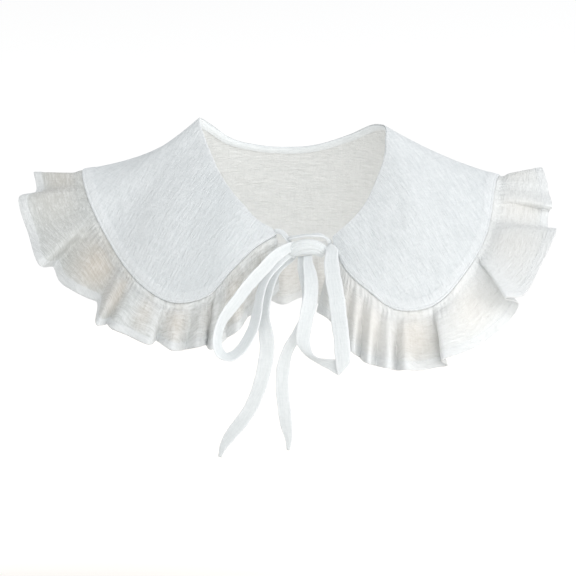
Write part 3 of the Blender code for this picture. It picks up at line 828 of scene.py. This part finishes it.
for order, (name, courses) in enumerate(RIBBONS.items()):
    middle, side, front = (np.zeros((0, 3)) for _ in range(3))
    for course in courses:
        rows = with_sides(course)
        knots = run_lengths(rows[:, :3])
        t = np.linspace(0, knots[-1], max(12, int(knots[-1] / RIBBON_STEP)))
        laid = read_curve(knots, rows, t)
        tangent = unit((read_curve(knots, rows, t + 0.5) - read_curve(knots, rows, t - 0.5))[:, :3])
        facing = unit(np.cross(tangent, laid[:, 3:]))
        placed = laid[:, :3] + facing * RIBBON_WALL / 2
        if len(middle):
            # Round the fold, which lies along the width of the rows that meet there
            centre, back = (middle[-1] + placed[0]) / 2, (middle[-1] - placed[0]) / 2
            beyond = unit(np.cross(side[-1], back)) * np.linalg.norm(back)
            turn = np.radians((30.0, 60.0, 90.0, 120.0, 150.0))[:, None]
            beyond = beyond if beyond @ (centre - middle[-4]) > 0 else -beyond
            around = beyond * np.sin(turn) + back * np.cos(turn)
            middle, side = np.concatenate([middle, centre + around]), np.concatenate([side, side[-1] + 0 * around])
            front = np.concatenate([front, -unit(around)])
        middle, side, front = (np.concatenate(both) for both in (
            (middle, placed), (side, laid[:, 3:]), (front, facing)))
    t = run_lengths(middle)
    # The width wavers a little, and the ribbon is slightly hollow
    side = side / 2 * (1 + 0.02 * np.sin(t * 0.41 + order) + 0.015 * np.sin(t * 0.83))[:, None]
    waist = np.linalg.norm(side, axis=1)
    cup = 0.16 * np.sin(t * 0.055 + 1.3 * order)
    ring = (middle[:, None] + side[:, None] * profile[:, :1]
            + front[:, None] * ((RIBBON_WALL * 0.44) * profile[:, 1]
                                + cup[:, None] * (1 - profile[:, 0] ** 2))[..., None])
    cut = laid_flat(t[:, None], waist[:, None] * profile[:, 0] + 20 * order)
    edges = soft_step((np.abs(profile[:, 0]) - 0.70) / 0.1)
    piece = grid_mesh("ribbon_" + name.replace("bow_", ""), ring, tube=True, cut=cut, band=edges)
    places, normals = relieved(piece, ring.shape, tie_cloth, seed=6.0 + order, height=0.10, length=7.0, width=3.0)
    settle(piece)
    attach(piece, "root")
    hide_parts(name)
    length = float(t[-1]) * 0.001
    ribbon_pieces.append((piece, length, float(2 * waist.mean()) * 0.001 * length,
                          [(places[2:-2, k], normals[2:-2, k]) for k in in_dent]))

# Knot
# The middle of the bow, where one tie wraps across the other: a soft band a little wider than the ribbon,
# with a few folds running along it.
# Along its middle: x, y, z, half width, half thickness in millimetres
KNOT_BAND = np.array((
    (-0.6, -78.6, -80.2, 3.4, 0.9),
    (1.4, -79.8, -77.4, 4.4, 2.6),
    (5.5, -80.4, -75.0, 5.1, 3.5),
    (11.5, -80.4, -73.9, 5.4, 3.8),
    (17.5, -80.0, -74.6, 5.2, 3.4),
    (21.8, -78.9, -76.6, 4.6, 2.4),
    (24.2, -77.6, -78.6, 3.6, 0.9),
))
knots = run_lengths(KNOT_BAND[:, :3])
t = np.linspace(0, knots[-1], 60)
tangent = unit(read_curve(knots, KNOT_BAND[:, :3], t + 0.5) - read_curve(knots, KNOT_BAND[:, :3], t - 0.5))
flat = unit(np.cross(tangent, (0.0, 1.0, 0.0)))
front = np.cross(tangent, flat)
half_width, half_deep = read_curve(knots, KNOT_BAND[:, 3:], t).T[..., None]
theta = np.linspace(0, 2 * np.pi, 73)[:-1]
across, deep = -np.cos(theta), np.sign(np.sin(theta)) * np.abs(np.sin(theta)) ** 0.8
along = t[:, None] / knots[-1]
# Folds that run along the band: place across it, how it drifts along the band, half width, depth
for place, drift, half, sink in ((-0.42, 0.25, 0.10, 0.22), (0.12, -0.30, 0.09, 0.16), (0.58, 0.10, 0.10, 0.20)):
    deep = deep - np.sign(deep) * sink * np.exp(-(((across - place - drift * (along - 0.5)) / half) ** 2))
knot_points = (read_curve(knots, KNOT_BAND[:, :3], t)[:, None] + flat[:, None] * (half_width * across)[..., None]
               + front[:, None] * (half_deep * deep)[..., None])
knot = grid_mesh("ribbon_knot", knot_points, tube=True, cut=laid_flat(t[:, None], 6 * theta), band=0.0)
relieved(knot, knot_points.shape, tie_cloth, seed=21.0, height=0.10, length=7.0, width=2.6)
settle(knot)
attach(knot, "root")
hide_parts("bow_knot")

# Stitching
# White lockstitch of sewing thread, about 2.7 mm long: along the collar's outer edge, the hem of the ruffle,
# the lower edge of the neck tape and both edges of the ties.


def stitch_rule():
    """Lays small rounded stitches end to end along edges that carry an up direction."""
    tree, nodes, size = new_rule("Stitch run", ("Pitch", "Length", "Width", "Height"), "Thread")
    line = nodes.add("GeometryNodeMeshToCurve", None, {"Mesh": size["Geometry"]})
    line = nodes.add("GeometryNodeResampleCurve", {"mode": "LENGTH"}, {"Curve": line, "Length": size["Pitch"]})
    up = nodes.add("GeometryNodeInputNamedAttribute", {"data_type": "FLOAT_VECTOR"}, {"Name": "up"})
    run = nodes.add("GeometryNodeInputTangent")
    turned = nodes.add("FunctionNodeAlignRotationToVector", {"axis": "X"}, {"Vector": run})
    turned = nodes.add("FunctionNodeAlignRotationToVector", {"axis": "Z", "pivot_axis": "X"},
                       {"Rotation": turned, "Vector": up})
    thread = nodes.add("GeometryNodeMeshUVSphere", None, {"Segments": 6, "Rings": 4, "Radius": 0.5}, "Mesh")
    smooth = nodes.add("GeometryNodeSetShadeSmooth", None, {"Geometry": thread})
    shape = nodes.add("ShaderNodeCombineXYZ", None, {0: size["Length"], 1: size["Width"], 2: size["Height"]})
    laid = nodes.add("GeometryNodeInstanceOnPoints", None, {
        "Points": line, "Instance": smooth, "Rotation": turned, "Scale": shape})
    plain = nodes.add("GeometryNodeRealizeInstances", None, {"Geometry": laid})
    dressed = nodes.add("GeometryNodeSetMaterial", None, {"Geometry": plain, "Material": size["Thread"]})
    nodes.add("NodeGroupOutput", None, {0: dressed})
    return tree


def stitch_run(name, lines, pitch=0.0027, length=0.0021, width=0.00042, height=0.0003):
    """Stitches along lines of places and outward directions in metres."""
    mesh = bpy.data.meshes.new(name)
    edges, start = [], 0
    for places, _ in lines:
        edges += [(start + k, start + k + 1) for k in range(len(places) - 1)]
        start += len(places)
    mesh.from_pydata(np.concatenate([p for p, _ in lines]).tolist(), edges, [])
    up = mesh.attributes.new("up", "FLOAT_VECTOR", "POINT")
    up.data.foreach_set("vector", np.ravel(np.concatenate([n for _, n in lines])).astype(np.float32))
    thing = in_scene(name, mesh)
    modifier = thing.modifiers.new("Stitches", "NODES")
    modifier.node_group = bpy.data.node_groups.get("Stitch run") or stitch_rule()
    set_inputs(modifier, pitch=pitch, length=length, width=width, height=height, thread=thread_white)
    settle(thing)
    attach(thing, "root")
    return thing


thread_white, nodes = blank_material("sewing thread")
place = nodes.add("ShaderNodeTexCoord", None, None, "Object")
twist = nodes.noise(nodes.stretched(place, (2600.0, 2600.0, 2600.0)), 1.0)
tone = nodes.mixed(twist, (0.76, 0.79, 0.80), (0.88, 0.90, 0.91))
bump = nodes.add("ShaderNodeBump", None, {"Strength": 0.5, "Distance": 0.0002, "Height": twist})
shader = nodes.add("ShaderNodeBsdfPrincipled", None, {
    "Base Color": tone, "Roughness": 0.6, "Sheen Weight": 0.1, "Normal": bump})
nodes.add("ShaderNodeOutputMaterial", None, {"Surface": shader})

row = len(neck_rows) + len(share) + list(seam_rows).index(TOPSTITCH)
line, up = collar_places[6:-6, row], collar_normals[6:-6, row]
collar_stitches = stitch_run("collar_topstitch", [(line, up), (line - up * (COLLAR_WALL + 0.05) * 0.001, -up)])
row = len(out_rows) + len(middle_share) + list(hem_rows).index(HEM_STITCH)
line, up = ruffle_places[2:-2, row], ruffle_normals[2:-2, row]
hem_stitches = stitch_run("ruffle_hem_stitch", [(line, up), (line - up * RUFFLE_WALL * 0.001, -up)])
row = -1 - list(tape_share).index(TAPE_STITCH)
tape_stitches = stitch_run("neck_tape_stitch", [(tape_places[4:-4, row], tape_normals[4:-4, row])])
for piece, length, area, lines in ribbon_pieces:
    on_it = [stitch_run(piece.name + "_stitch", lines, pitch=0.0024, length=0.0018, width=0.00032, height=0.00022)]
    if piece.name == "ribbon_loop_left":
        on_it.append(knot)

# Studio
# The collar hangs in the air over a plain white floor and before a white ground, in soft light from the
# right and from the front. The floor lies far below it.
FLOOR_HALF, FLOOR_HEIGHT = 30.0, -0.62
floor_mesh = bpy.data.meshes.new("floor")
corners = [(x * FLOOR_HALF, y * FLOOR_HALF, FLOOR_HEIGHT) for x, y in ((-1, -1), (1, -1), (1, 1), (-1, 1))]
floor_mesh.from_pydata(corners, [], [(0, 1, 2, 3)])
floor = in_scene("floor", floor_mesh)
white = bpy.data.materials.new("light table")
white.use_nodes = True
shader = white.node_tree.nodes["Principled BSDF"]
shader.inputs["Base Color"].default_value = (0.2, 0.2, 0.2, 1.0)
shader.inputs["Roughness"].default_value = 0.9
shader.inputs["Emission Strength"].default_value = 0.97
# Below the collar and to the left of it the table is dimmer
nodes = Nodes(white.node_tree)
place = nodes.add("ShaderNodeTexCoord", None, None, "Object")
near = nodes.step(2.3, 1.2, nodes.add("ShaderNodeVectorMath", {"operation": "LENGTH"}, {0: place}, "Value"))
left = nodes.step(0.6, -0.7, nodes.add("ShaderNodeSeparateXYZ", None, {0: place}, "X"))
tone = nodes.mixed(near * left * 0.8, (1.0, 0.97, 0.93), (0.25, 0.24, 0.23))
white.node_tree.links.new(tone.socket, shader.inputs["Emission Color"])
floor_mesh.materials.append(white)

# The room is white up to a little above the horizon, like the table, and dimmer overhead
world = bpy.data.worlds.new("studio")
world.use_nodes = True
world.node_tree.nodes.clear()
nodes = Nodes(world.node_tree)
way = nodes.add("ShaderNodeTexCoord", None, None, "Generated")
height, side = (nodes.add("ShaderNodeSeparateXYZ", None, {0: way}, axis) for axis in "ZX")
sky = nodes.mixed(nodes.step(-0.7, 0.7, side), (0.66, 0.67, 0.675), (0.84, 0.85, 0.865))
low = nodes.mixed(nodes.step(-0.3, -0.8, side), (1.03, 1.03, 1.03), (0.74, 0.75, 0.755))
tone = nodes.mixed(nodes.step(0.06, 0.5, height), low, sky)
nodes.add("ShaderNodeOutputWorld", None, {"Surface": nodes.add("ShaderNodeBackground", None, {"Color": tone})})
bpy.context.scene.world = world
bpy.context.scene.view_settings.view_transform = "Standard"

for label, spot, size, watts in (("key", (1.6, -1.0, 0.35), 1.2, 8.5), ("front", (0.25, -1.7, 0.35), 1.4, 8.0)):
    light = bpy.data.lights.new(label, "AREA")
    light.size, light.energy = size, watts
    lamp = in_scene(label, light)
    lamp.location = spot
    lamp.rotation_euler = (Vector((0.0, -0.05, -0.09)) - Vector(spot)).to_track_quat("-Z", "Y").to_euler()

camera = in_scene("camera", bpy.data.cameras.new("camera"))
camera.data.lens = 100
camera.location = (-0.0015, -1.187, -0.1024)
camera.rotation_euler = (math.pi / 2, 0, 0)
bpy.context.scene.camera = camera
